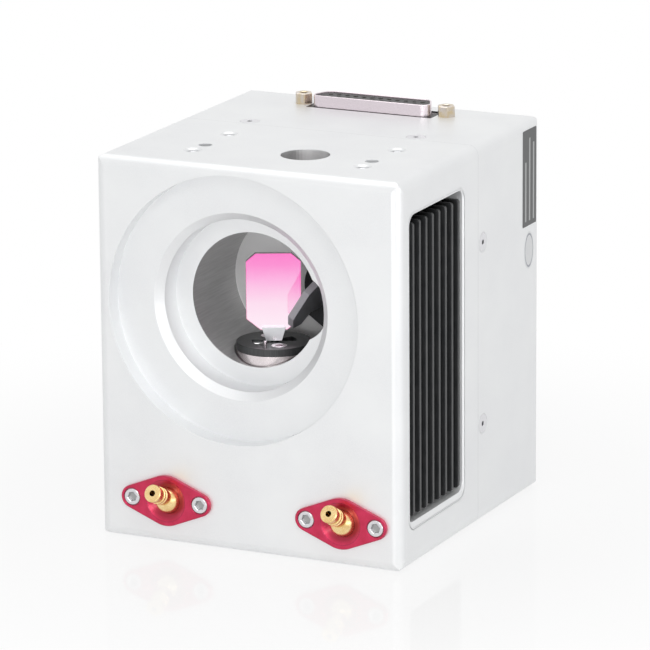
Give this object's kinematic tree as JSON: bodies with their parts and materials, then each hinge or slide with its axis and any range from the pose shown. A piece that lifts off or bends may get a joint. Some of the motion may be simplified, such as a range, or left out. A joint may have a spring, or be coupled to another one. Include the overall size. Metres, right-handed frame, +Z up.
{
  "type": "galvo scanner head",
  "caption": "Two-axis laser scan head: white block with stepped lens seat, galvo mirrors in the chamber, side heat sink, top D connector and ball-seated pointers.",
  "frame": {"origin": "centre of the bottom face", "axes": "+Z up, -Y out of the lens seat, +X towards the side with the heat sink"},
  "size_m": [0.097, 0.1103, 0.1189],
  "materials": {
    "white_aluminium": "satin clear anodised, fine bead blasted",
    "black_anodised": "satin black anodised",
    "black_steel": "black oxide",
    "screw_steel": "stainless",
    "red_anodised": "glossy red anodised",
    "brass": "turned",
    "contact_gold": "plated",
    "spring_steel": "ground",
    "tinned_shell": "pinkish tin plate",
    "yellow_zinc": "yellow zinc plate",
    "black_plastic": "glass filled",
    "board_green": "solder mask",
    "motor_steel": "turned",
    "copper": "potted copper windings",
    "bearing_steel": "ground",
    "magnet_grey": "nickel plated",
    "mount_aluminium": "fine milled",
    "pink_mirror": "dielectric coating with a pink reflection"
  },
  "bodies": {
    "housing": {"front_housing": "white_aluminium", "rear_cover": "white_aluminium", "cover_screws": "screw_steel", "heat_sink": "black_anodised", "heat_sink_screws": "black_steel", "left_flange": "red_anodised", "right_flange": "red_anodised", "flange_screws": "screw_steel", "left_ball_seat": "spring_steel", "right_ball_seat": "spring_steel", "connector_shell": "tinned_shell", "connector_insulator": "black_plastic", "connector_contacts": "contact_gold", "jackscrews": "yellow_zinc", "jack_nuts": "screw_steel", "interface_board": "board_green", "x_driver_board": "board_green", "y_driver_board": "board_green", "board_screws": "screw_steel", "x_motor_case": "motor_steel", "x_stator": "copper", "x_front_bearing": "bearing_steel", "x_rear_bearing": "bearing_steel", "x_detector_case": "black_plastic", "x_detector_board": "board_green", "x_stop_disc": "black_anodised", "x_disc_screws": "tinned_shell", "x_clamp_screw": "screw_steel", "y_motor_case": "motor_steel", "y_stator": "copper", "y_front_bearing": "bearing_steel", "y_rear_bearing": "bearing_steel", "y_detector_case": "black_plastic", "y_detector_board": "board_green", "y_stop_disc": "black_anodised", "y_disc_screws": "tinned_shell", "y_clamp_screw": "screw_steel", "motor_cap": "white_aluminium", "cap_screws": "screw_steel"},
    "x_rotor": {"x_shaft": "bearing_steel", "x_magnet": "magnet_grey", "x_detector_vane": "black_anodised", "x_stop_pin": "bearing_steel", "x_mirror_mount": "mount_aluminium", "x_mirror": "pink_mirror", "x_mirror_screw": "screw_steel"},
    "y_rotor": {"y_shaft": "bearing_steel", "y_magnet": "magnet_grey", "y_detector_vane": "black_anodised", "y_stop_pin": "bearing_steel", "y_mirror_mount": "mount_aluminium", "y_mirror": "pink_mirror", "y_mirror_screw": "screw_steel"},
    "left_pointer_body": {"left_pointer": "brass", "left_pointer_diode": "contact_gold"},
    "right_pointer_body": {"right_pointer": "brass", "right_pointer_diode": "contact_gold"}
  },
  "joints": [
    {"name": "x_scan", "type": "hinge", "parent": "housing", "child": "x_rotor", "pos_m": [0.00841, -0.0265, 0.07129], "axis": [0, 1, 0], "range_deg": [-0.5, 24.5]},
    {"name": "y_scan", "type": "hinge", "parent": "housing", "child": "y_rotor", "pos_m": [-0.0047, -0.0229, 0.072], "axis": [0, 0, 1], "range_deg": [-1, 31]},
    {"name": "left_pointer_tilt", "type": "hinge", "parent": "housing", "child": "left_pointer_body", "pos_m": [-0.0266, -0.04903, 0.013], "axis": [-1, 0, 0], "range_deg": [-24, 4]},
    {"name": "right_pointer_tilt", "type": "hinge", "parent": "housing", "child": "right_pointer_body", "pos_m": [0.0298, -0.04903, 0.013], "axis": [-1, 0, 0], "range_deg": [-28, 0]}
  ]
}
